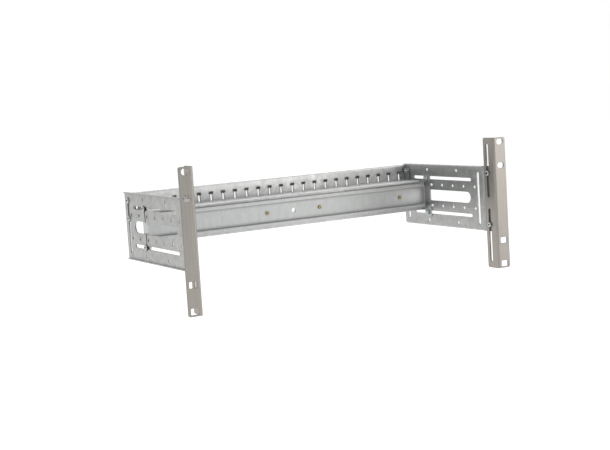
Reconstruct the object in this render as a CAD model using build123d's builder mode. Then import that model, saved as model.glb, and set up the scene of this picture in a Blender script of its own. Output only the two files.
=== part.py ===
# Rack-mount DIN rail panel, four rack units high.
# Two stainless ears carry two galvanised side plates, and between the plates stand
# a folded carrier with its DIN rail and, behind it, a cable comb with T slots.
# X runs along the rail, Y from the front to the back and Z up. The origin is in the
# middle of the rack hole pattern, on the rear faces of the ears.
import os

from build123d import *

os.makedirs("parts", exist_ok=True)

# Rack standard
rack_unit_height = 44.45
rack_unit_count = 4
rack_width = 482.6
rack_hole_inset = 8.75
rack_hole_end_margin = 6.35
rack_hole_third_margin = 38.1

# Ears
ear_sheet = 2.0
ear_height_clearance = 0.8
ear_front_width = 19.4
ear_depth = 22.5
ear_bend = 1.0
ear_corner = 2.5
rack_hole_width = 11.0
rack_hole_height = 8.0
rack_hole_corner = 1.5
ear_slot_length = 73.0
ear_slot_width = 5.0
ear_slot_gap = 15.2
ear_slot_setback = 14.75

# Side plates
plate_sheet = 1.5
plate_height = 88.9
plate_level = 5.5
plate_rear = 212.3
plate_front_margin = 6.0
plate_bend = 0.5
lip_reach = 2.0
lip_start_gap = 1.5
joggle_gap = 0.8
joggle_length = 3.2
joggle_bend = 0.7
plate_corner = 3.0
end_slot_front_inset = 9.15
end_slot_rear_inset = 10.15
end_slot_margin = 8.45
end_slot_width = 4.8
slot_end_gap = 15.6
slot_height = 4.5
slot_distance = 50.0
window_end_gap = 18.0
window_height = 15.6
hole_diameter = 4.5
hole_end_gap = 8.5
hole_columns = 7
hole_row_distance = 30.0
pair_hole_span = 69.6
pair_hole_margin = 7.75
slit_offset = 30.85
slit_margin = 15.15
slit_width = 2.2
ear_screw_margin = 9.45

# Rail carrier
carrier_sheet = 1.5
carrier_front = 160.0
carrier_height = 42.8
carrier_bend = 1.0
carrier_tab_depth = 15.5
carrier_tab_height = 61.0
carrier_tab_corner = 2.0
shelf_end_gap = 8.0
shelf_depth = 46.0
centre_hole_diameter = 6.3

# DIN rail
rail_height = 35.0
rail_web_height = 27.0
rail_depth = 7.5
rail_sheet = 1.0
rail_bend = 0.8
rail_end_gap = 7.4

# Cable comb
comb_sheet = 1.5
comb_screw_setback = 4.85
comb_height = 38.0
comb_top_gap = 1.45
comb_bend = 1.0
comb_tab_depth = 13.0
comb_relief = 4.0
comb_lip_height = 14.0
comb_cap_depth = 8.0
comb_end_gap = 2.9
tee_count = 24
tee_end_margin = 12.6
tee_head_width = 6.0
tee_head_height = 3.0
tee_stem_width = 2.5
tee_stem_length = 14.0
tee_drop = 10.0
comb_screw_drop = 11.0
comb_screw_distance = 23.7

# Fasteners
screw_diameter = 4.0
pan_head_diameter = 8.0
pan_head_height = 2.6
low_head_diameter = 9.0
low_head_height = 1.8
nut_across_flats = 7.0
nut_height = 3.2
screw_end = 1.0
rail_screw_diameter = 3.0
rail_screw_head_diameter = 5.6
rail_screw_head_height = 2.0
rail_screw_inner_share = 0.1925
rail_screw_end_distance = 38.5
rail_screw_end = 2.0
crown_share = 0.4
passing_clearance = 0.25
thread_clearance = 0.05

# Places that follow from the sizes above
ear_front = -ear_sheet
ear_rear_edge = ear_front + ear_depth
body_half = rack_width / 2 - ear_front_width
ear_outer = body_half + ear_sheet
slot_column = ear_front + ear_slot_setback
rack_height = rack_unit_count * rack_unit_height
ear_height = rack_height - ear_height_clearance
rack_hole_column = rack_width / 2 - rack_hole_inset
rack_hole_outer = rack_height / 2 - rack_hole_end_margin
rack_hole_inner = rack_height / 2 - rack_hole_third_margin
plate_outer = body_half + plate_sheet
flange_outer = ear_outer + plate_sheet
joggle_start = ear_rear_edge + joggle_gap
wall_start = joggle_start + joggle_length
lip_start = wall_start + lip_start_gap
plate_front = ear_front + plate_front_margin
plate_top = plate_level + plate_height / 2
pair_hole_distance = plate_height - 2 * pair_hole_margin
ear_screw_distance = plate_height - 2 * ear_screw_margin
front_end_slot = lip_start + end_slot_front_inset
rear_end_slot = plate_rear - end_slot_rear_inset
side_middle = (front_end_slot + rear_end_slot) / 2
end_slot_span = rear_end_slot - front_end_slot
end_slot_length = plate_height - 2 * end_slot_margin
slot_length = end_slot_span - 2 * slot_end_gap
window_length = end_slot_span - 2 * window_end_gap
hole_pitch = (end_slot_span - 2 * hole_end_gap) / (hole_columns - 1)
slit_place = side_middle + slit_offset
slit_length = plate_height - 2 * slit_margin
rail_half = body_half - rail_end_gap
rail_screw_inner = rail_half * rail_screw_inner_share
rail_screw_outer = rail_half - rail_screw_end_distance
tee_pitch = 2 * (body_half - tee_end_margin) / (tee_count - 1)
carrier_top = plate_level + carrier_height / 2
carrier_bottom = plate_level - carrier_height / 2
carrier_rear = carrier_front + carrier_sheet
carrier_tab_front = carrier_rear - carrier_tab_depth - carrier_bend
carrier_screw_place = carrier_tab_front + carrier_tab_depth / 2
tab_inner = body_half - carrier_sheet
comb_screw_place = rear_end_slot
comb_front = comb_screw_place + comb_screw_setback
comb_rear = comb_front + comb_sheet
comb_top = plate_top - comb_top_gap
comb_bottom = comb_top - comb_height
comb_tab_front = comb_rear - comb_tab_depth
comb_screw_top = plate_top - comb_screw_drop
comb_tab_inner = body_half - comb_sheet
cut = 1.0


def folded(plane, points, radii, sheet, side=Side.RIGHT):
    """Section of a folded sheet, with one of its faces along the points."""
    with BuildSketch(plane) as section:
        with BuildLine():
            FilletPolyline(*points, radius=radii)
            offset(amount=sheet, side=side)
        make_face()
    return section.sketch


def screw(seat, head_diameter, head_height, shank_diameter, shank_length):
    """Round-headed screw: its head stands on the seat plane, with its shank behind the plane."""
    with BuildPart() as piece:
        with BuildSketch(seat):
            Circle(head_diameter / 2)
        extrude(amount=head_height)
        crown = piece.faces().sort_by_distance(seat.origin)[-1].edges()
        chamfer(crown, head_height * crown_share)
        with BuildSketch(seat):
            Circle(shank_diameter / 2)
        extrude(amount=-shank_length)
    return piece.part


def hex_nut(seat):
    """Hexagon nut that stands on the seat plane."""
    with BuildPart() as piece:
        with BuildSketch(seat):
            RegularPolygon(nut_across_flats / 2, 6, major_radius=False)
            Circle(screw_diameter / 2 + thread_clearance, mode=Mode.SUBTRACT)
        extrude(amount=nut_height)
    return piece.part


def save(part, name):
    """Labels a finished piece and writes it as its own STEP file."""
    part.label = name
    export_step(part, f"parts/{name}.step")


# Ears: an angle with four rack holes in front and two long slots in its side
side_cut = Plane.YZ.offset(body_half - cut)
with BuildPart() as right_rack_ear:
    ear_path = [
        (rack_width / 2, ear_front),
        (body_half, ear_front),
        (body_half, ear_rear_edge),
    ]
    angle_section = folded(Plane.XY.offset(-ear_height / 2), ear_path, ear_bend + ear_sheet, ear_sheet)
    extrude(angle_section, amount=ear_height)
    front_corners = right_rack_ear.edges().filter_by(Axis.Y).group_by(Axis.X)[-1]
    fillet(front_corners, ear_corner)
    rear_corners = right_rack_ear.edges().filter_by(Axis.X).group_by(Axis.Y)[-1]
    fillet(rear_corners, ear_corner)
    with BuildSketch(Plane.XZ):
        with Locations((rack_hole_column, rack_hole_outer), (rack_hole_column, rack_hole_inner)):
            SlotOverall(rack_hole_width, rack_hole_height)
        with Locations((rack_hole_column, -rack_hole_inner), (rack_hole_column, -rack_hole_outer)):
            RectangleRounded(rack_hole_width, rack_hole_height, rack_hole_corner)
    extrude(amount=ear_sheet, both=True, mode=Mode.SUBTRACT)
    slot_middle = (ear_slot_gap + ear_slot_length) / 2
    with BuildSketch(side_cut):
        with Locations((slot_column, slot_middle), (slot_column, -slot_middle)):
            SlotOverall(ear_slot_length, ear_slot_width, rotation=90)
    extrude(amount=ear_sheet + 2 * cut, mode=Mode.SUBTRACT)
save(right_rack_ear.part, "right_rack_ear")

with BuildPart() as left_rack_ear:
    mirror(right_rack_ear.part, about=Plane.YZ)
save(left_rack_ear.part, "left_rack_ear")

# Side plates: a lipped wall that steps outwards in front to lie behind the ear
with BuildPart() as right_side_plate:
    wall_path = [
        (plate_outer + lip_reach, plate_top),
        (body_half, plate_top),
        (body_half, plate_top - plate_height),
        (plate_outer + lip_reach, plate_top - plate_height),
    ]
    wall_bend = plate_bend + plate_sheet
    lipped_section = folded(Plane.XZ.offset(-plate_rear), wall_path, wall_bend, plate_sheet, Side.LEFT)
    extrude(lipped_section, amount=plate_rear - lip_start)
    with BuildSketch(side_cut) as rounded_end:
        with Locations(((lip_start + plate_rear) / 2, plate_level)):
            Rectangle(plate_rear - lip_start, plate_height)
        fillet(rounded_end.vertices().group_by(Axis.X)[-1], plate_corner)
    extrude(amount=flange_outer - body_half + 2 * cut, mode=Mode.INTERSECT)
    step_path = [
        (flange_outer, plate_front),
        (flange_outer, joggle_start),
        (plate_outer, wall_start),
        (plate_outer, lip_start),
    ]
    step_bends = [joggle_bend + plate_sheet, joggle_bend]
    step_plane = Plane.XY.offset(plate_top - plate_height)
    stepped_section = folded(step_plane, step_path, step_bends, plate_sheet, Side.LEFT)
    extrude(stepped_section, amount=plate_height)
    front_corners = right_side_plate.edges().filter_by(Axis.X).group_by(Axis.Y)[0]
    fillet(front_corners, plate_corner)
    with BuildSketch(side_cut):
        with Locations((side_middle, plate_level)):
            SlotOverall(window_length, window_height)
            with GridLocations(1, slot_distance, 1, 2):
                SlotOverall(slot_length, slot_height)
            with GridLocations(hole_pitch, hole_row_distance, hole_columns, 2):
                Circle(hole_diameter / 2)
            with GridLocations(pair_hole_span, pair_hole_distance, 2, 2):
                Circle(hole_diameter / 2)
            with GridLocations(end_slot_span, 1, 2, 1):
                SlotOverall(end_slot_length, end_slot_width, rotation=90)
        with Locations((slit_place, plate_level)):
            Rectangle(slit_width, slit_length)
    extrude(amount=flange_outer - body_half + 2 * cut, mode=Mode.SUBTRACT)
    with BuildSketch(side_cut):
        with Locations((slot_column, plate_level)):
            with GridLocations(1, ear_screw_distance, 1, 2):
                Circle(screw_diameter / 2 + thread_clearance)
    extrude(amount=flange_outer - body_half + 2 * cut, mode=Mode.SUBTRACT)
save(right_side_plate.part, "right_side_plate")

with BuildPart() as left_side_plate:
    mirror(right_side_plate.part, about=Plane.YZ)
save(left_side_plate.part, "left_side_plate")

# Rail carrier: a wall with a shelf along its top and a tab turned forwards at each end
with BuildPart() as rail_carrier:
    outer_bend = carrier_bend + carrier_sheet
    carrier_path = [
        (-body_half, carrier_tab_front),
        (-body_half, carrier_rear),
        (body_half, carrier_rear),
        (body_half, carrier_tab_front),
    ]
    channel_section = folded(Plane.XY.offset(carrier_bottom), carrier_path, outer_bend, carrier_sheet)
    extrude(channel_section, amount=carrier_height - outer_bend)
    shelf_path = [
        (carrier_front, plate_level),
        (carrier_front, carrier_top),
        (carrier_front + shelf_depth, carrier_top),
    ]
    shelf_half = body_half - shelf_end_gap
    shelf_section = folded(Plane.YZ.offset(-shelf_half), shelf_path, outer_bend, carrier_sheet)
    extrude(shelf_section, amount=2 * shelf_half)
    for tab_face in (tab_inner, -body_half):
        with BuildSketch(Plane.YZ.offset(tab_face)) as tab:
            with Locations((carrier_screw_place, plate_level)):
                Rectangle(carrier_tab_depth, carrier_tab_height)
            fillet(tab.vertices(), carrier_tab_corner)
        extrude(amount=carrier_sheet)
    with BuildSketch(Plane.YZ.offset(-body_half - cut)):
        with Locations((carrier_screw_place, plate_level)):
            with GridLocations(1, slot_distance, 1, 2):
                Circle(screw_diameter / 2 + passing_clearance)
    extrude(amount=2 * (body_half + cut), mode=Mode.SUBTRACT)
    with BuildSketch(Plane.XZ.offset(-carrier_rear)):
        with Locations((0, plate_level)):
            Circle(centre_hole_diameter / 2)
            for place in (rail_screw_inner, rail_screw_outer):
                with GridLocations(2 * place, 1, 2, 1):
                    Circle(rail_screw_diameter / 2 + thread_clearance)
    extrude(amount=carrier_sheet, mode=Mode.SUBTRACT)
save(rail_carrier.part, "rail_carrier")

# DIN rail: a top hat section, open to the front
with BuildPart() as din_rail:
    lip_rear = carrier_front - rail_depth + rail_sheet
    hat_path = [
        (lip_rear, plate_level + rail_height / 2),
        (lip_rear, plate_level + rail_web_height / 2),
        (carrier_front, plate_level + rail_web_height / 2),
        (carrier_front, plate_level - rail_web_height / 2),
        (lip_rear, plate_level - rail_web_height / 2),
        (lip_rear, plate_level - rail_height / 2),
    ]
    web_bend = rail_bend + rail_sheet
    hat_bends = [rail_bend, web_bend, web_bend, rail_bend]
    hat_section = folded(Plane.YZ.offset(-rail_half), hat_path, hat_bends, rail_sheet)
    extrude(hat_section, amount=2 * rail_half)
    with BuildSketch(Plane.XZ.offset(-carrier_front)):
        with Locations((0, plate_level)):
            Circle(centre_hole_diameter / 2)
            for place in (rail_screw_inner, rail_screw_outer):
                with GridLocations(2 * place, 1, 2, 1):
                    Circle(rail_screw_diameter / 2 + passing_clearance)
    extrude(amount=rail_sheet, mode=Mode.SUBTRACT)
save(din_rail.part, "din_rail")

# Cable comb: a wall of T slots with a cap and a short lip turned down behind
with BuildPart() as cable_comb:
    outer_bend = comb_bend + comb_sheet
    comb_path = [
        (-body_half, comb_tab_front),
        (-body_half, comb_rear),
        (body_half, comb_rear),
        (body_half, comb_tab_front),
    ]
    comb_channel_section = folded(Plane.XY.offset(comb_bottom), comb_path, outer_bend, comb_sheet)
    extrude(comb_channel_section, amount=comb_height - comb_relief)
    cap_path = [
        (comb_front, comb_bottom + comb_height / 2),
        (comb_front, comb_top),
        (comb_front + comb_cap_depth, comb_top),
        (comb_front + comb_cap_depth, comb_top - comb_lip_height),
    ]
    cap_half = body_half - comb_end_gap
    cap_section = folded(Plane.YZ.offset(-cap_half), cap_path, outer_bend, comb_sheet)
    extrude(cap_section, amount=2 * cap_half)
    tab_corners = cable_comb.edges().filter_by(Axis.X).group_by(Axis.Y)[0]
    fillet(tab_corners, carrier_tab_corner)
    with BuildSketch(Plane.XZ.offset(-comb_rear)):
        with GridLocations(tee_pitch, 1, tee_count, 1):
            with Locations((0, comb_top - tee_drop - tee_head_height / 2)):
                Rectangle(tee_head_width, tee_head_height)
            with Locations((0, comb_top - tee_drop - tee_head_height - tee_stem_length / 2)):
                Rectangle(tee_stem_width, tee_stem_length)
    extrude(amount=comb_sheet, mode=Mode.SUBTRACT)
    with BuildSketch(Plane.YZ.offset(-body_half - cut)):
        with Locations((comb_screw_place, comb_screw_top - comb_screw_distance / 2)):
            with GridLocations(1, comb_screw_distance, 1, 2):
                Circle(screw_diameter / 2 + passing_clearance)
    extrude(amount=2 * (body_half + cut), mode=Mode.SUBTRACT)
save(cable_comb.part, "cable_comb")

# Screws and nuts: a row of them on each side, seen from the middle of the rack
for side_name, outward in (("right", 1), ("left", -1)):
    outward_axis = (outward, 0, 0)
    inward_axis = (-outward, 0, 0)
    for row, level in (("upper", 1), ("lower", -1)):
        ear_height_here = plate_level + level * ear_screw_distance / 2
        head_seat = Plane((outward * body_half, slot_column, ear_height_here), z_dir=inward_axis)
        ear_screw = screw(
            head_seat,
            pan_head_diameter,
            pan_head_height,
            screw_diameter,
            flange_outer - body_half,
        )
        save(ear_screw, f"{side_name}_{row}_ear_screw")

        carrier_level = plate_level + level * slot_distance / 2
        comb_level = comb_screw_top - comb_screw_distance * (1 - level) / 2
        for owner, place, height, nut_face in (
            ("carrier", carrier_screw_place, carrier_level, tab_inner),
            ("comb", comb_screw_place, comb_level, comb_tab_inner),
        ):
            head_seat = Plane((outward * plate_outer, place, height), z_dir=outward_axis)
            shank_length = plate_outer - nut_face + nut_height + screw_end
            clamp_screw = screw(
                head_seat,
                low_head_diameter,
                low_head_height,
                screw_diameter,
                shank_length,
            )
            save(clamp_screw, f"{side_name}_{row}_{owner}_screw")
            nut_seat = Plane((outward * nut_face, place, height), z_dir=inward_axis)
            save(hex_nut(nut_seat), f"{side_name}_{row}_{owner}_nut")

# Rail screws: small yellow screws through the web into tapped holes of the carrier
rail_screw_places = (-rail_screw_outer, -rail_screw_inner, rail_screw_inner, rail_screw_outer)
for number, place in enumerate(rail_screw_places, 1):
    web_seat = Plane((place, carrier_front - rail_sheet, plate_level), z_dir=(0, -1, 0))
    rail_screw = screw(
        web_seat,
        rail_screw_head_diameter,
        rail_screw_head_height,
        rail_screw_diameter,
        rail_sheet + carrier_sheet + rail_screw_end,
    )
    save(rail_screw, f"rail_screw_{number}")
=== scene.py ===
"""Dresses a rack-mount DIN rail panel: steel finishes, screws, nuts, studio and camera."""
import math

import bmesh
import bpy
from bpy.props import FloatProperty, FloatVectorProperty, IntProperty, PointerProperty
from bpy.types import NodeSocket, Operator, Panel, PropertyGroup
from mathutils import Matrix, Vector


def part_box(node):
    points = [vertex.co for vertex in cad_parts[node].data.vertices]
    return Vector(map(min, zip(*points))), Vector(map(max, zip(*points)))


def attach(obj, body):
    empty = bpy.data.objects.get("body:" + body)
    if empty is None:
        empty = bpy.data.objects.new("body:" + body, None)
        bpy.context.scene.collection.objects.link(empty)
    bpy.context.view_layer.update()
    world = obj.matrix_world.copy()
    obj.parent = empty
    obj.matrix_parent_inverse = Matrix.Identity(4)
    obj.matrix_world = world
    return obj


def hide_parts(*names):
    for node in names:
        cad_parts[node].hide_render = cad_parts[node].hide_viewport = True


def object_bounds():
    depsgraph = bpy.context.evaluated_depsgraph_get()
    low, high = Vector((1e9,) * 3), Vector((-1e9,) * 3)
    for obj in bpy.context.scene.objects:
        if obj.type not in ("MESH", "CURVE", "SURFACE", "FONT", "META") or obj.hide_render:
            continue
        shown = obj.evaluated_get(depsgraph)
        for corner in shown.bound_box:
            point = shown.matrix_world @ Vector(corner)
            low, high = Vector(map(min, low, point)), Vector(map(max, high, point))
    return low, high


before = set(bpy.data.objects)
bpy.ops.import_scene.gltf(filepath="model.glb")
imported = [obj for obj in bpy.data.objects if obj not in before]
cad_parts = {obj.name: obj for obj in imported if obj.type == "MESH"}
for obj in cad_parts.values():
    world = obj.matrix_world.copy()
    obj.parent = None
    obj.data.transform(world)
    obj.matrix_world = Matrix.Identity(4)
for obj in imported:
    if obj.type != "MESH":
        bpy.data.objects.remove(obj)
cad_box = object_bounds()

bl_info = {
    "name": "DIN Rail Rack Panel",
    "version": (1, 0, 0),
    "blender": (4, 5, 0),
    "location": "View3D > Sidebar > Rack Panel",
    "description": "Steel finishes, fasteners and studio for a rack-mount DIN rail panel",
    "category": "Object",
}

BODY = "root"
MM = 0.001
SIDES = ("left", "right")
ROWS = ("upper", "lower")
OUTWARD = {"left": Vector((-1, 0, 0)), "right": Vector((1, 0, 0))}
FORWARD = Vector((0, -1, 0))
SIXTH_TURN = math.pi / 3
QUARTER_TURN = math.pi / 2
WHITE = (1, 1, 1, 1)

# Shank radius of the screws in each material slot
SHANKS = {"zinc_fasteners": 2.0 * MM, "yellow_screws": 1.5 * MM}
RAIL_SCREWS = 4

# Profile of a screw head, in shares of its height and radius
RECESS_FLOOR = 0.15
RECESS_RIM = 0.96
CROWN_RADIUS = 0.66
SHOULDER_HEIGHT = 0.40
RIM_HEIGHT = 0.10
SEAT_RADIUS = 0.96
CROWN_STEPS = 6
RINGS_PER_TURN = 4

# Profile of a nut, in shares of its width, bore and height
CHAMFER_START = 0.98
CHAMFER_LEVELS = (0.0, 0.06, 0.12, 0.2)
BORE_RADIUS = 1.06
SINK_RADIUS = 1.15
SINK_DEPTH = 0.12

SHARP_ANGLE = math.radians(32)
RELIEF_DEPTH = 0.1 * MM

# Agreement of the rounded and the true normal on a flat face and on an edge; between them the painted edge
# light fades in
FLAT_AGREEMENT = 0.99
EDGE_AGREEMENT = 0.90

# Each lamp's place from the middle of the object, and its side
LAMPS = {
    "key": (Vector((-1.6, -1.8, 1.6)), 1.6),
    "fill": (Vector((1.2, -1.35, 0.35)), 0.95),
    "back": (Vector((1.0, 1.9, 1.3)), 1.0),
    "top": (Vector((0.0, 0.3, 2.2)), 2.2),
}


class FinishSettings(PropertyGroup):
    """Colours and grain of the metals."""

    ear_colour: FloatVectorProperty(
        name="Ear Colour", description="Warm grey of the stainless ears",
        subtype="COLOR", size=3, min=0, max=1, default=(0.35, 0.325, 0.295))
    zinc_colour: FloatVectorProperty(
        name="Zinc Colour", description="Grey of the galvanised side plates",
        subtype="COLOR", size=3, min=0, max=1, default=(0.42, 0.425, 0.415))
    carrier_colour: FloatVectorProperty(
        name="Carrier Colour", description="Grey of the galvanised carrier and its shelf",
        subtype="COLOR", size=3, min=0, max=1, default=(0.53, 0.53, 0.52))
    comb_colour: FloatVectorProperty(
        name="Comb Colour", description="Lighter grey of the galvanised comb",
        subtype="COLOR", size=3, min=0, max=1, default=(0.71, 0.71, 0.69))
    rail_colour: FloatVectorProperty(
        name="Rail Colour", description="Cool grey of the rail",
        subtype="COLOR", size=3, min=0, max=1, default=(0.485, 0.49, 0.48))
    screw_colour: FloatVectorProperty(
        name="Screw Colour", description="Bluish grey of bright zinc plating",
        subtype="COLOR", size=3, min=0, max=1, default=(0.46, 0.50, 0.50))
    yellow_colour: FloatVectorProperty(
        name="Yellow Screw Colour", description="Straw yellow of passivated screws",
        subtype="COLOR", size=3, min=0, max=1, default=(0.45, 0.34, 0.18))
    brush_spacing: FloatProperty(
        name="Brush Spacing", description="Distance between brush marks on the ears",
        subtype="DISTANCE", default=0.9 * MM, min=0.1 * MM, max=10 * MM)
    brush_length: FloatProperty(
        name="Brush Length", description="Length of a brush mark on the ears",
        subtype="DISTANCE", default=60 * MM, min=1 * MM, max=500 * MM)
    spangle_size: FloatProperty(
        name="Spangle Size", description="Width of a zinc crystal on the sheet",
        subtype="DISTANCE", default=6 * MM, min=0.5 * MM, max=50 * MM)


class FastenerSettings(PropertyGroup):
    """Sizes of the fine detail on screws and nuts."""

    thread_pitch: FloatProperty(
        name="Thread Pitch", description="Advance of the thread of a 4 mm screw in one turn",
        subtype="DISTANCE", default=0.7 * MM, min=0.1 * MM, max=3 * MM)
    thread_depth: FloatProperty(
        name="Thread Depth", description="Height of the flank of a 4 mm thread",
        subtype="DISTANCE", default=0.35 * MM, min=0.0, max=1 * MM)
    steps: IntProperty(
        name="Steps", description="Sides of a turned screw or nut",
        default=48, min=12, max=96)
    head_share: FloatProperty(
        name="Head Share", description="Width of a screw head against its plain stand-in",
        subtype="FACTOR", default=0.88, min=0.6, max=1.0)
    low_head: FloatProperty(
        name="Low Head", description="Height of the clamping screws' low heads",
        subtype="DISTANCE", default=1.8 * MM, min=0.5 * MM, max=5 * MM)
    pan_head: FloatProperty(
        name="Pan Head", description="Height of the ear screws' heads",
        subtype="DISTANCE", default=2.6 * MM, min=0.5 * MM, max=5 * MM)
    rail_head: FloatProperty(
        name="Rail Screw Head", description="Height of the rail screws' heads",
        subtype="DISTANCE", default=2.0 * MM, min=0.5 * MM, max=5 * MM)
    socket_width: FloatProperty(
        name="Socket Width", description="Hexagon socket over its flats, as a share of the head's radius",
        subtype="FACTOR", default=0.72, min=0.1, max=1.2)
    cross_reach: FloatProperty(
        name="Cross Reach", description="Reach of a cross recess, as a share of the head's radius",
        subtype="FACTOR", default=0.62, min=0.1, max=0.9)
    cross_width: FloatProperty(
        name="Cross Width", description="Width of a cross recess's arms, as a share of the head's radius",
        subtype="FACTOR", default=0.26, min=0.05, max=0.9)
    nut_chamfer: FloatProperty(
        name="Nut Chamfer", description="Slope of the chamfer on a nut's corners",
        subtype="ANGLE", default=math.radians(30), min=math.radians(5), max=math.radians(60))


class StageSettings(PropertyGroup):
    """Camera, floor, lamps and surroundings."""

    camera_place: FloatVectorProperty(
        name="Camera Place", description="Where the camera stands",
        subtype="TRANSLATION", size=3, default=(-0.8542, -1.3508, 0.1719))
    azimuth: FloatProperty(
        name="Azimuth", description="Turn of the view from +Y towards +X",
        subtype="ANGLE", default=math.radians(29.965))
    elevation: FloatProperty(
        name="Elevation", description="How far the camera looks down",
        subtype="ANGLE", default=math.radians(6.182))
    roll: FloatProperty(
        name="Roll", description="Tilt of the camera about its own axis",
        subtype="ANGLE", default=math.radians(3.603))
    lens: FloatProperty(
        name="Lens", description="Focal length on a 36 mm wide sensor",
        unit="CAMERA", default=75.15, min=10, max=500)
    floor_drop: FloatProperty(
        name="Floor Drop", description="Height of the ears' lower ends over the floor",
        subtype="DISTANCE", default=0.20, min=0.0, max=2.0)
    floor_size: FloatProperty(
        name="Floor Size", description="Side of the floor",
        subtype="DISTANCE", default=14.0, min=1.0, max=50.0)
    floor_tone: FloatProperty(
        name="Floor Tone", description="Grey of the floor under its own light",
        subtype="FACTOR", default=0.8, min=0.0, max=1.0)
    floor_lift: FloatProperty(
        name="Floor Lift", description="Light that makes the floor fade into the white background",
        default=0.58, min=0.0, max=1.0)
    key_power: FloatProperty(
        name="Key Power", description="Power of the lamp over the camera",
        unit="POWER", default=16, min=0, max=1000)
    fill_power: FloatProperty(
        name="Fill Power", description="Power of the lamp on the right",
        unit="POWER", default=4.5, min=0, max=1000)
    back_power: FloatProperty(
        name="Back Power", description="Power of the lamp behind the object",
        unit="POWER", default=6, min=0, max=1000)
    top_power: FloatProperty(
        name="Top Power", description="Power of the lamp overhead",
        unit="POWER", default=5, min=0, max=1000)
    sky_strength: FloatProperty(
        name="Sky Strength", description="Light of the surroundings on plain surfaces",
        default=0.55, min=0, max=2)
    mirror_strength: FloatProperty(
        name="Mirrored Strength", description="Brightness of the surroundings in the metal",
        default=0.9, min=0, max=2)
    room_azimuth: FloatProperty(
        name="Room Azimuth", description="Middle of the darker room behind the camera, from -Y towards -X",
        subtype="ANGLE", default=math.radians(32))
    room_edge: FloatProperty(
        name="Room Edge", description="Cosine of the angle from the room's middle at which it turns bright",
        default=0.20, min=-1, max=1)
    room_core: FloatProperty(
        name="Room Core", description="Cosine of the angle from the room's middle at which it is darkest",
        default=0.62, min=-1, max=1)
    room_colour: FloatVectorProperty(
        name="Room Colour", description="Darker and cooler tone of the room behind the camera",
        subtype="COLOR", size=3, min=0, max=1, default=(0.26, 0.30, 0.34))


def settings(context):
    """Settings of the finishes, the fasteners and the stage."""
    scene = context.scene
    return scene.rack_panel_finish, scene.rack_panel_fasteners, scene.rack_panel_stage


def link(tree, source, target):
    """Joins an output to an input."""
    tree.links.new(source, target)


def feed(tree, socket, value):
    """Gives an input a constant, or the output of another node."""
    if isinstance(value, NodeSocket):
        link(tree, value, socket)
    else:
        socket.default_value = value


def add_node(tree, kind, **inputs):
    """Adds a node and feeds its named inputs."""
    node = tree.nodes.new(kind)
    for name, value in inputs.items():
        feed(tree, node.inputs[name.replace("_", " ")], value)
    return node


def maths(tree, operation, first, second):
    """Result of an operation on two numbers."""
    node = tree.nodes.new("ShaderNodeMath")
    node.operation = operation
    feed(tree, node.inputs[0], first)
    feed(tree, node.inputs[1], second)
    return node.outputs[0]


def vector_maths(tree, operation, first, second):
    """Result of an operation on two vectors."""
    node = tree.nodes.new("ShaderNodeVectorMath")
    node.operation = operation
    feed(tree, node.inputs[0], first)
    feed(tree, node.inputs[1], second)
    return node.outputs["Value" if operation == "DOT_PRODUCT" else "Vector"]


def scaled(tree, colour, factor):
    """Colour times a factor."""
    node = tree.nodes.new("ShaderNodeVectorMath")
    node.operation = "SCALE"
    link(tree, colour, node.inputs[0])
    link(tree, factor, node.inputs["Scale"])
    return node.outputs["Vector"]


def swung(tree, centre, amount, level):
    """Value that swings about its centre with a level between 0 and 1."""
    swing = maths(tree, "MULTIPLY", maths(tree, "SUBTRACT", level, 0.5), amount)
    return maths(tree, "ADD", swing, centre)


def object_place(tree, size):
    """Place on the object, in units of the grain's size along each axis."""
    place = tree.nodes.new("ShaderNodeTexCoord")
    return vector_maths(tree, "DIVIDE", place.outputs["Object"], size)


def new_group(name, inputs, outputs):
    """Makes a shader node group with the given sockets."""
    group = bpy.data.node_groups.new(name, "ShaderNodeTree")
    for socket_name, kind, default in inputs:
        socket = group.interface.new_socket(socket_name, in_out="INPUT", socket_type=kind)
        socket.default_value = default
    for socket_name, kind in outputs:
        group.interface.new_socket(socket_name, in_out="OUTPUT", socket_type=kind)
    entry = group.nodes.new("NodeGroupInput")
    leave = group.nodes.new("NodeGroupOutput")
    return group, entry.outputs, leave.inputs


def surface_group(name, size_input):
    """Makes a group that gives a metal its colour, roughness and height."""
    inputs = [
        ("Colour", "NodeSocketColor", (0.5, 0.5, 0.5, 1)),
        size_input,
        ("Tone", "NodeSocketFloat", 0.2),
        ("Roughness", "NodeSocketFloat", 0.4),
        ("Roughness Swing", "NodeSocketFloat", 0.1),
    ]
    outputs = [
        ("Colour", "NodeSocketColor"),
        ("Roughness", "NodeSocketFloat"),
        ("Height", "NodeSocketFloat"),
    ]
    return new_group(name, inputs, outputs)


def finish_surface(group, entry, leave, shade, gloss, height):
    """Feeds a surface group's outputs from three levels between 0 and 1."""
    brightness = swung(group, 1.0, entry["Tone"], shade)
    link(group, scaled(group, entry["Colour"], brightness), leave["Colour"])
    roughness = swung(group, entry["Roughness"], entry["Roughness Swing"], gloss)
    link(group, roughness, leave["Roughness"])
    link(group, height, leave["Height"])


def grain_group():
    """Fine and broad marks stretched along one axis."""
    group, entry, leave = surface_group(
        "Metal Grain", ("Mark Size", "NodeSocketVector", (0.001, 0.001, 0.001)))
    place = object_place(group, entry["Mark Size"])
    fine = add_node(group, "ShaderNodeTexNoise", Vector=place, Scale=1.0, Detail=3.0, Roughness=0.6)
    broad = add_node(group, "ShaderNodeTexNoise", Vector=place, Scale=0.55, Detail=2.0, Roughness=0.6)
    both = maths(group, "ADD", fine.outputs["Fac"], broad.outputs["Fac"])
    level = maths(group, "MULTIPLY", both, 0.5)
    finish_surface(group, entry, leave, level, level, level)
    return group


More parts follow.
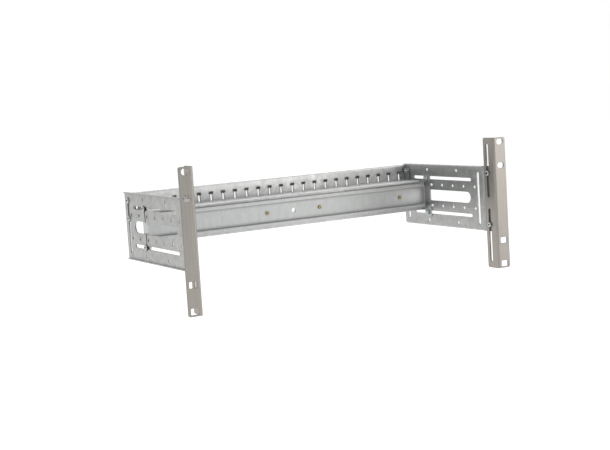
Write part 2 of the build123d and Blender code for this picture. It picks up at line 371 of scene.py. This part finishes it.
def spangle_group():
    """Crystals of hot zinc with a soft mottle over them."""
    group, entry, leave = surface_group(
        "Zinc Spangle", ("Crystal Size", "NodeSocketFloat", 0.006))
    size = group.nodes.new("ShaderNodeCombineXYZ")
    for socket in size.inputs:
        link(group, entry["Crystal Size"], socket)
    place = object_place(group, size.outputs[0])
    warp = add_node(group, "ShaderNodeTexNoise", Vector=place, Scale=1.3, Detail=1.0)
    bent = vector_maths(group, "ADD", place, warp.outputs["Color"])
    crystals = add_node(group, "ShaderNodeTexVoronoi", Vector=bent, Scale=1.0, Randomness=1.0)
    split = group.nodes.new("ShaderNodeSeparateColor")
    link(group, crystals.outputs["Color"], split.inputs[0])
    shade, gloss, height = split.outputs
    cloud = add_node(group, "ShaderNodeTexNoise", Vector=place, Scale=0.12, Detail=3.0, Roughness=0.55)
    mottled = maths(group, "MULTIPLY", maths(group, "ADD", shade, cloud.outputs["Fac"]), 0.5)
    finish_surface(group, entry, leave, mottled, gloss, height)
    return group


def painted_light_group():
    """Painted light and shade: lighter or darker edges standing in for edge highlights and dark edge lines,
    and painted shade in folds and corners.
    """
    group, entry, leave = new_group(
        "Edges and Hollows",
        [
            ("Edge Width", "NodeSocketFloat", 0.001),
            ("Edge Change", "NodeSocketFloat", -0.3),
            ("Hollow Reach", "NodeSocketFloat", 0.008),
            ("Hollow Change", "NodeSocketFloat", -0.4),
        ],
        [("Brightness", "NodeSocketFloat")],
    )
    # Painted light: edges made lighter or darker where they would catch or miss the light
    rounded = add_node(group, "ShaderNodeBevel", Radius=entry["Edge Width"])
    rounded.samples = 4
    facing = group.nodes.new("ShaderNodeNewGeometry")
    agreement = vector_maths(group, "DOT_PRODUCT", rounded.outputs[0], facing.outputs["Normal"])
    edge = add_node(
        group, "ShaderNodeMapRange",
        Value=agreement, From_Min=FLAT_AGREEMENT, From_Max=EDGE_AGREEMENT)
    # Painted shade: darker in folds, corners and recesses within the hollow reach, where shade falls
    hollow = add_node(group, "ShaderNodeAmbientOcclusion", Distance=entry["Hollow Reach"])
    hollow.samples = 8
    closed = maths(group, "SUBTRACT", 1.0, hollow.outputs["AO"])
    edge_part = maths(group, "MULTIPLY", edge.outputs[0], entry["Edge Change"])
    hollow_part = maths(group, "MULTIPLY", closed, entry["Hollow Change"])
    both = maths(group, "ADD", edge_part, hollow_part)
    link(group, maths(group, "ADD", both, 1.0), leave["Brightness"])
    return group


GROUP_MAKERS = {
    "Metal Grain": grain_group,
    "Zinc Spangle": spangle_group,
    "Edges and Hollows": painted_light_group,
}


def add_group(tree, name, values):
    """Adds a shared group, which is made on first use, and sets its inputs."""
    node = tree.nodes.new("ShaderNodeGroup")
    node.node_tree = bpy.data.node_groups.get(name) or GROUP_MAKERS[name]()
    for socket_name, value in values.items():
        node.inputs[socket_name].default_value = value
    return node


def metal(name, group_name, surface, painted_light, bump):
    """Metal with the look of a shared surface group, with painted light on its edges and painted shade in
    its hollows.
    """
    material = bpy.data.materials.get(name)
    if material:
        return material
    material = bpy.data.materials.new(name)
    material.use_nodes = True
    tree = material.node_tree
    shader = tree.nodes["Principled BSDF"]
    shader.inputs["Metallic"].default_value = 1.0
    effect = add_group(tree, group_name, surface)
    painted_light_node = add_group(tree, "Edges and Hollows", painted_light)
    # Base colour times the painted edge light and painted hollow shade
    colour = scaled(tree, effect.outputs["Colour"], painted_light_node.outputs["Brightness"])
    relief = add_node(
        tree, "ShaderNodeBump",
        Strength=bump, Distance=RELIEF_DEPTH, Height=effect.outputs["Height"])
    link(tree, colour, shader.inputs["Base Color"])
    link(tree, effect.outputs["Roughness"], shader.inputs["Roughness"])
    link(tree, relief.outputs["Normal"], shader.inputs["Normal"])
    return material


def brushed_steel(finish):
    """Stainless steel with brush marks along its height."""
    across = finish.brush_spacing
    surface = {
        "Colour": (*finish.ear_colour, 1),
        "Mark Size": (across, across, finish.brush_length),
        "Tone": 0.6,
        "Roughness": 0.36,
        "Roughness Swing": 0.5,
    }
    # Painted shade: darker edges standing in for dark edge lines, and darker folds and corners
    painted_light = {
        "Edge Width": 1.2 * MM,
        "Edge Change": -0.45,
        "Hollow Reach": 6 * MM,
        "Hollow Change": -0.4,
    }
    return metal("Brushed Stainless", "Metal Grain", surface, painted_light, bump=0.18)


def galvanised(finish, name, colour, roughness, painted_light):
    """Sheet steel with a spangle of zinc crystals."""
    surface = {
        "Colour": (*colour, 1),
        "Crystal Size": finish.spangle_size,
        "Tone": 0.28,
        "Roughness": roughness,
        "Roughness Swing": 0.16,
    }
    return metal(name, "Zinc Spangle", surface, painted_light, bump=0.05)


def rolled_steel(finish):
    """Plated steel with soft marks along the rail."""
    surface = {
        "Colour": (*finish.rail_colour, 1),
        "Mark Size": (4 * MM, 3 * MM, 9 * MM),
        "Tone": 0.45,
        "Roughness": 0.42,
        "Roughness Swing": 0.2,
    }
    # Painted shade: darker edges under the lips and darker recesses of the web
    painted_light = {
        "Edge Width": 0.7 * MM,
        "Edge Change": -0.2,
        "Hollow Reach": 4 * MM,
        "Hollow Change": -0.6,
    }
    return metal("Rolled Rail Steel", "Metal Grain", surface, painted_light, bump=0.10)


def bright_zinc(finish):
    """Glossy bluish plating of the screws and nuts."""
    surface = {
        "Colour": (*finish.screw_colour, 1),
        "Mark Size": (0.8 * MM, 0.8 * MM, 0.8 * MM),
        "Tone": 0.3,
        "Roughness": 0.10,
        "Roughness Swing": 0.1,
    }
    # Painted highlight on the edges, and painted shade in recesses and under heads
    painted_light = {
        "Edge Width": 0.5 * MM,
        "Edge Change": 0.5,
        "Hollow Reach": 4 * MM,
        "Hollow Change": -0.9,
    }
    return metal("Bright Zinc", "Metal Grain", surface, painted_light, bump=0.05)


def yellow_zinc(finish):
    """Yellow passivated plating of the rail screws."""
    surface = {
        "Colour": (*finish.yellow_colour, 1),
        "Mark Size": (1.2 * MM, 1.2 * MM, 1.2 * MM),
        "Tone": 0.5,
        "Roughness": 0.18,
        "Roughness Swing": 0.1,
    }
    # Painted highlight on the edges, and painted shade in the recess and under the head
    painted_light = {
        "Edge Width": 0.4 * MM,
        "Edge Change": 0.3,
        "Hollow Reach": 3 * MM,
        "Hollow Change": -0.9,
    }
    return metal("Yellow Zinc", "Metal Grain", surface, painted_light, bump=0.05)


def finish_node(name, material):
    """Gives a node that keeps its own shape its material."""
    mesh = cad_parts[name].data
    mesh.materials.clear()
    mesh.materials.append(material)
    for polygon in mesh.polygons:
        polygon.material_index = 0


class RACKPANEL_OT_ears(Operator):
    """Brushes the two stainless ears along their length"""

    bl_idname = "rack_panel.ears"
    bl_label = "Rack Ears"

    def execute(self, context):
        finish, _, _ = settings(context)
        material = brushed_steel(finish)
        for side in SIDES:
            finish_node(f"{side}_rack_ear", material)
        return {"FINISHED"}


class RACKPANEL_OT_side_plates(Operator):
    """Galvanises the two side plates"""

    bl_idname = "rack_panel.side_plates"
    bl_label = "Side Plates"

    def execute(self, context):
        finish, _, _ = settings(context)
        # Painted shade: darker edges and darker folds and corners
        painted_light = {
            "Edge Width": 0.8 * MM,
            "Edge Change": -0.3,
            "Hollow Reach": 6 * MM,
            "Hollow Change": -0.35,
        }
        material = galvanised(finish, "Galvanised Plate", finish.zinc_colour, roughness=0.39, painted_light=painted_light)
        for side in SIDES:
            finish_node(f"{side}_side_plate", material)
        return {"FINISHED"}


class RACKPANEL_OT_carrier(Operator):
    """Galvanises the folded rail carrier"""

    bl_idname = "rack_panel.carrier"
    bl_label = "Rail Carrier"

    def execute(self, context):
        finish, _, _ = settings(context)
        # Painted shade: darker edges and darker folds and corners
        painted_light = {
            "Edge Width": 1.0 * MM,
            "Edge Change": -0.2,
            "Hollow Reach": 8 * MM,
            "Hollow Change": -0.5,
        }
        material = galvanised(finish, "Galvanised Carrier", finish.carrier_colour, roughness=0.39, painted_light=painted_light)
        finish_node("rail_carrier", material)
        return {"FINISHED"}


class RACKPANEL_OT_rail(Operator):
    """Finishes the rail with marks along its rolling direction"""

    bl_idname = "rack_panel.rail"
    bl_label = "DIN Rail"

    def execute(self, context):
        finish, _, _ = settings(context)
        finish_node("din_rail", rolled_steel(finish))
        return {"FINISHED"}


class RACKPANEL_OT_comb(Operator):
    """Galvanises the cable comb"""

    bl_idname = "rack_panel.comb"
    bl_label = "Cable Comb"

    def execute(self, context):
        finish, _, _ = settings(context)
        # Painted shade: wide dark rims on the slot edges, and the wall darker towards the shelf and the
        # corners
        painted_light = {
            "Edge Width": 2.6 * MM,
            "Edge Change": -0.6,
            "Hollow Reach": 30 * MM,
            "Hollow Change": -0.6,
        }
        material = galvanised(finish, "Galvanised Comb", finish.comb_colour, roughness=0.37, painted_light=painted_light)
        finish_node("cable_comb", material)
        return {"FINISHED"}


def circle(radius):
    """Round outline; an outline gives a radius for an angle and a height."""
    return lambda angle, height: radius


def hexagon(flats, turned=0.0):
    """Outline of a hexagon by its width over flats."""
    def radius(angle, height):
        off = (angle - turned) % SIXTH_TURN - SIXTH_TURN / 2
        return flats / 2 / math.cos(off)
    return radius


def cross(reach, width):
    """Outline of a cross recess by the reach and width of its arms."""
    side = width / 2

    def radius(angle, height):
        off = abs((angle + QUARTER_TURN / 2) % QUARTER_TURN - QUARTER_TURN / 2)
        return side / max(math.sin(off), side / reach)
    return radius


def thread(radius, pitch, depth, tip):
    """Outline of a screw thread that tapers at its tip."""
    def outline(angle, height):
        turn = (height / pitch - angle / (2 * math.pi)) % 1.0
        crest = 1 - abs(2 * turn - 1)
        full = radius - depth + depth * crest
        return min(full, radius - depth + max(height - tip, 0.0))
    return outline


def skin_rings(name, rings, steps, seat, axis, closed):
    """Mesh over rings around an axis, each a height over the seat and an outline."""
    build = bmesh.new()
    turn = axis.to_track_quat("Z", "Y").to_matrix()
    loops = []
    for height, outline in rings:
        loop = []
        for step in range(steps):
            angle = 2 * math.pi * step / steps
            radius = outline(angle, height)
            point = Vector((radius * math.cos(angle), radius * math.sin(angle), height))
            loop.append(build.verts.new(seat + turn @ point))
        loops.append(loop)
    pairs = list(zip(loops, loops[1:]))
    if closed:
        pairs.append((loops[-1], loops[0]))
    for lower, upper in pairs:
        for step in range(steps):
            after = (step + 1) % steps
            build.faces.new((lower[step], lower[after], upper[after], upper[step]))
    if not closed:
        for loop, (height, _) in ((loops[0], rings[0]), (loops[-1], rings[-1])):
            middle = build.verts.new(seat + turn @ Vector((0, 0, height)))
            for step in range(steps):
                build.faces.new((loop[step], loop[(step + 1) % steps], middle))
    bmesh.ops.recalc_face_normals(build, faces=build.faces)
    mesh = bpy.data.meshes.new(name)
    build.to_mesh(mesh)
    build.free()
    mesh.shade_smooth()
    mesh.set_sharp_from_angle(angle=SHARP_ANGLE)
    return mesh


def add_fastener(node, mesh, material):
    """Puts a detailed screw or nut in the place of its plain node."""
    piece = bpy.data.objects.new(f"detailed_{node}", mesh)
    bpy.context.scene.collection.objects.link(piece)
    mesh.materials.append(material)
    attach(piece, BODY)
    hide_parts(node)


def screw_rings(fasteners, head_radius, head_height, shank_radius, shank_length, recess):
    """Rings of a domed screw from the floor of its recess to its tip."""
    scale = shank_radius / SHANKS["zinc_fasteners"]
    pitch = fasteners.thread_pitch * scale
    depth = fasteners.thread_depth * scale
    crown = head_radius * CROWN_RADIUS
    shoulder = head_height * SHOULDER_HEIGHT
    rings = [
        (head_height * RECESS_FLOOR, recess),
        (head_height * RECESS_RIM, recess),
        (head_height, circle(crown)),
    ]
    for part in range(1, CROWN_STEPS + 1):
        slope = part / CROWN_STEPS * QUARTER_TURN
        level = shoulder + (head_height - shoulder) * math.cos(slope)
        radius = crown + (head_radius - crown) * math.sin(slope)
        rings.append((level, circle(radius)))
    rings += [
        (head_height * RIM_HEIGHT, circle(head_radius)),
        (0.0, circle(head_radius * SEAT_RADIUS)),
        (0.0, circle(shank_radius)),
        (-pitch / 2, circle(shank_radius - depth)),
    ]
    outline = thread(shank_radius, pitch, depth, -shank_length)
    count = int(shank_length / pitch * RINGS_PER_TURN)
    for part in range(RINGS_PER_TURN // 2 + 1, count + 1):
        rings.append((-shank_length * part / count, outline))
    return rings


def nut_rings(fasteners, flats, height, bore, turned):
    """Closed rings of a hexagon nut: chamfered outside, countersunk bore."""
    corners = hexagon(flats, turned)
    rise = 1 / math.tan(fasteners.nut_chamfer)
    middle = height / 2

    def outside(angle, level):
        cone = flats / 2 * CHAMFER_START + (middle - abs(level - middle)) * rise
        return min(corners(angle, level), cone)

    levels = [height * share for share in CHAMFER_LEVELS]
    levels += [height * (1 - share) for share in reversed(CHAMFER_LEVELS)]
    sunk = circle(bore * SINK_RADIUS)
    inside = [
        (height, sunk),
        (height * (1 - SINK_DEPTH), circle(bore)),
        (height * SINK_DEPTH, circle(bore)),
        (0.0, sunk),
    ]
    return [(level, outside) for level in levels] + inside


class RACKPANEL_OT_fasteners(Operator):
    """Turns the screws with heads, recesses and threads, and the hexagon nuts"""

    bl_idname = "rack_panel.fasteners"
    bl_label = "Screws and Nuts"

    def screw(self, context, node, seat_side, head_height, recess_kind, material, slot):
        """One screw inside its node's box; seat_side points from the tip to the head."""
        _, fasteners, _ = settings(context)
        low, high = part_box(node)
        middle, size = (low + high) / 2, high - low
        length = abs(size.dot(seat_side))
        top = middle + seat_side * (length / 2)
        across = [extent for extent, along in zip(size, seat_side) if not along]
        head_radius = min(across) / 2 * fasteners.head_share
        rings = screw_rings(
            fasteners, head_radius, head_height,
            SHANKS[slot], length - head_height, recess_kind(head_radius))
        seat = top - seat_side * head_height
        mesh = skin_rings(node, rings, fasteners.steps, seat, seat_side, closed=False)
        add_fastener(node, mesh, material)

    def nut(self, context, node, outward, material, slot):
        """One nut inside its node's box, with its flats turned as the node's are."""
        _, fasteners, _ = settings(context)
        low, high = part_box(node)
        middle, size = (low + high) / 2, high - low
        flats = min(size.y, size.z)
        turned = 0.0 if size.z > size.y else SIXTH_TURN / 2
        rings = nut_rings(fasteners, flats, size.x, SHANKS[slot] * BORE_RADIUS, turned)
        seat = middle - outward * (size.x / 2)
        mesh = skin_rings(node, rings, fasteners.steps, seat, outward, closed=True)
        add_fastener(node, mesh, material)

    def execute(self, context):
        finish, fasteners, _ = settings(context)
        bright, yellow = bright_zinc(finish), yellow_zinc(finish)

        def socket(radius):
            return hexagon(radius * fasteners.socket_width)

        def driver(radius):
            return cross(radius * fasteners.cross_reach, radius * fasteners.cross_width)

        for side in SIDES:
            outward = OUTWARD[side]
            for row in ROWS:
                self.screw(context, f"{side}_{row}_ear_screw", -outward,
                           fasteners.pan_head, socket, bright, "zinc_fasteners")
                for owner in ("carrier", "comb"):
                    place = f"{side}_{row}_{owner}"
                    self.screw(context, f"{place}_screw", outward,
                               fasteners.low_head, driver, bright, "zinc_fasteners")
                    self.nut(context, f"{place}_nut", -outward, bright, "zinc_fasteners")
        for number in range(1, RAIL_SCREWS + 1):
            self.screw(context, f"rail_screw_{number}", FORWARD,
                       fasteners.rail_head, driver, yellow, "yellow_screws")
        return {"FINISHED"}


def camera_matrix(stage):
    """Camera frame from its place, azimuth, elevation and roll."""
    forward = Vector((
        math.sin(stage.azimuth) * math.cos(stage.elevation),
        math.cos(stage.azimuth) * math.cos(stage.elevation),
        -math.sin(stage.elevation),
    ))
    level = Vector((math.cos(stage.azimuth), -math.sin(stage.azimuth), 0))
    down = forward.cross(level)
    right = level * math.cos(stage.roll) + down * math.sin(stage.roll)
    up = level * math.sin(stage.roll) - down * math.cos(stage.roll)
    matrix = Matrix((right, up, -forward)).transposed().to_4x4()
    matrix.translation = Vector(stage.camera_place)
    return matrix


def add_camera(stage):
    """Camera that sees the object from the stage's viewing place."""
    data = bpy.data.cameras.new("camera")
    data.lens = stage.lens
    data.clip_start = 0.01
    data.clip_end = 100
    camera = bpy.data.objects.new("camera", data)
    bpy.context.scene.collection.objects.link(camera)
    camera.matrix_world = camera_matrix(stage)
    bpy.context.scene.camera = camera


def add_lamp(name, place, target, size, power):
    """Square area lamp that faces a point of the object."""
    lamp = bpy.data.lights.new(name, "AREA")
    lamp.shape = "SQUARE"
    lamp.size = size
    lamp.energy = power
    holder = bpy.data.objects.new(name, lamp)
    bpy.context.scene.collection.objects.link(holder)
    holder.location = place
    holder.rotation_mode = "QUATERNION"
    holder.rotation_quaternion = (target - place).to_track_quat("-Z", "Y")
    holder.visible_camera = False


def ray_kinds(tree):
    """1 for rays seen straight from the camera, and 1 for mirrored rays."""
    rays = tree.nodes.new("ShaderNodeLightPath")
    straight = maths(tree, "MAXIMUM", rays.outputs["Is Camera Ray"], rays.outputs["Is Transmission Ray"])
    return straight, rays.outputs["Is Glossy Ray"]


def mirrored_colour(tree, stage):
    """White all round, with a darker room behind the camera."""
    direction = tree.nodes.new("ShaderNodeTexCoord")
    middle = (-math.sin(stage.room_azimuth), -math.cos(stage.room_azimuth), 0)
    towards = vector_maths(tree, "DOT_PRODUCT", direction.outputs["Generated"], middle)
    room = add_node(
        tree, "ShaderNodeMapRange",
        Value=towards, From_Min=stage.room_edge, From_Max=stage.room_core)
    room.interpolation_type = "SMOOTHSTEP"
    colours = tree.nodes.new("ShaderNodeMix")
    colours.data_type = "RGBA"
    link(tree, room.outputs[0], colours.inputs["Factor"])
    backdrop, walls = [socket for socket in colours.inputs if socket.type == "RGBA"]
    backdrop.default_value = WHITE
    walls.default_value = (*stage.room_colour, 1)
    return [socket for socket in colours.outputs if socket.type == "RGBA"][0]


def light_surroundings(stage):
    """White behind the object, a plain even light around it, and the room in the metal."""
    world = bpy.data.worlds.new("Studio")
    bpy.context.scene.world = world
    world.use_nodes = True
    tree = world.node_tree
    tree.nodes.clear()
    straight, glossy = ray_kinds(tree)
    plain = add_node(tree, "ShaderNodeBackground", Color=WHITE, Strength=stage.sky_strength)
    mirrored = add_node(
        tree, "ShaderNodeBackground",
        Color=mirrored_colour(tree, stage), Strength=stage.mirror_strength)
    white = add_node(tree, "ShaderNodeBackground", Color=WHITE, Strength=1.0)
    around = tree.nodes.new("ShaderNodeMixShader")
    seen = tree.nodes.new("ShaderNodeMixShader")
    output = tree.nodes.new("ShaderNodeOutputWorld")
    for socket, source in zip(around.inputs, (glossy, plain.outputs[0], mirrored.outputs[0])):
        link(tree, source, socket)
    for socket, source in zip(seen.inputs, (straight, around.outputs[0], white.outputs[0])):
        link(tree, source, socket)
    link(tree, seen.outputs[0], output.inputs[0])


def lay_floor(stage):
    """Pale floor that fades into the white background and keeps the object's shadow."""
    mesh = bpy.data.meshes.new("floor")
    half = stage.floor_size / 2
    height = cad_box[0].z - stage.floor_drop
    corners = [(-half, -half, height), (half, -half, height), (half, half, height), (-half, half, height)]
    mesh.from_pydata(corners, [], [(0, 1, 2, 3)])
    floor = bpy.data.objects.new("floor", mesh)
    bpy.context.scene.collection.objects.link(floor)
    material = bpy.data.materials.new("Pale Floor")
    material.use_nodes = True
    tree = material.node_tree
    shader = tree.nodes["Principled BSDF"]
    tone = stage.floor_tone
    shader.inputs["Base Color"].default_value = (tone, tone, tone, 1)
    shader.inputs["Roughness"].default_value = 0.9
    shader.inputs["Emission Color"].default_value = WHITE
    lift = maths(tree, "MULTIPLY", maths(tree, "MAXIMUM", *ray_kinds(tree)), stage.floor_lift)
    link(tree, lift, shader.inputs["Emission Strength"])
    mesh.materials.append(material)


class RACKPANEL_OT_stage(Operator):
    """Sets up the camera, the floor, the lamps and the surroundings"""

    bl_idname = "rack_panel.stage"
    bl_label = "Stage"

    def execute(self, context):
        _, _, stage = settings(context)
        context.scene.view_settings.view_transform = "Standard"
        add_camera(stage)
        middle = (cad_box[0] + cad_box[1]) / 2
        for name, (place, size) in LAMPS.items():
            add_lamp(f"{name}_lamp", middle + place, middle, size, getattr(stage, f"{name}_power"))
        light_surroundings(stage)
        lay_floor(stage)
        return {"FINISHED"}


class RACKPANEL_PT_panel(Panel):
    """Lists the steps and their settings"""

    bl_idname = "RACKPANEL_PT_panel"
    bl_label = "DIN Rail Rack Panel"
    bl_space_type = "VIEW_3D"
    bl_region_type = "UI"
    bl_category = "Rack Panel"

    def draw(self, context):
        layout = self.layout
        for operator in OPERATORS:
            layout.operator(operator.bl_idname)
        for group in settings(context):
            box = layout.box()
            for name in group.__annotations__:
                box.prop(group, name)


OPERATORS = (
    RACKPANEL_OT_ears,
    RACKPANEL_OT_side_plates,
    RACKPANEL_OT_carrier,
    RACKPANEL_OT_rail,
    RACKPANEL_OT_comb,
    RACKPANEL_OT_fasteners,
    RACKPANEL_OT_stage,
)
GROUPS = (FinishSettings, FastenerSettings, StageSettings)


def register():
    for item in (*GROUPS, *OPERATORS, RACKPANEL_PT_panel):
        bpy.utils.register_class(item)
    bpy.types.Scene.rack_panel_finish = PointerProperty(type=FinishSettings)
    bpy.types.Scene.rack_panel_fasteners = PointerProperty(type=FastenerSettings)
    bpy.types.Scene.rack_panel_stage = PointerProperty(type=StageSettings)


def unregister():
    del bpy.types.Scene.rack_panel_stage
    del bpy.types.Scene.rack_panel_fasteners
    del bpy.types.Scene.rack_panel_finish
    for item in reversed((*GROUPS, *OPERATORS, RACKPANEL_PT_panel)):
        bpy.utils.unregister_class(item)


def main():
    register()
    bpy.ops.rack_panel.ears()
    bpy.ops.rack_panel.side_plates()
    bpy.ops.rack_panel.carrier()
    bpy.ops.rack_panel.rail()
    bpy.ops.rack_panel.comb()
    bpy.ops.rack_panel.fasteners()
    bpy.ops.rack_panel.stage()


if __name__ == "__main__":
    main()
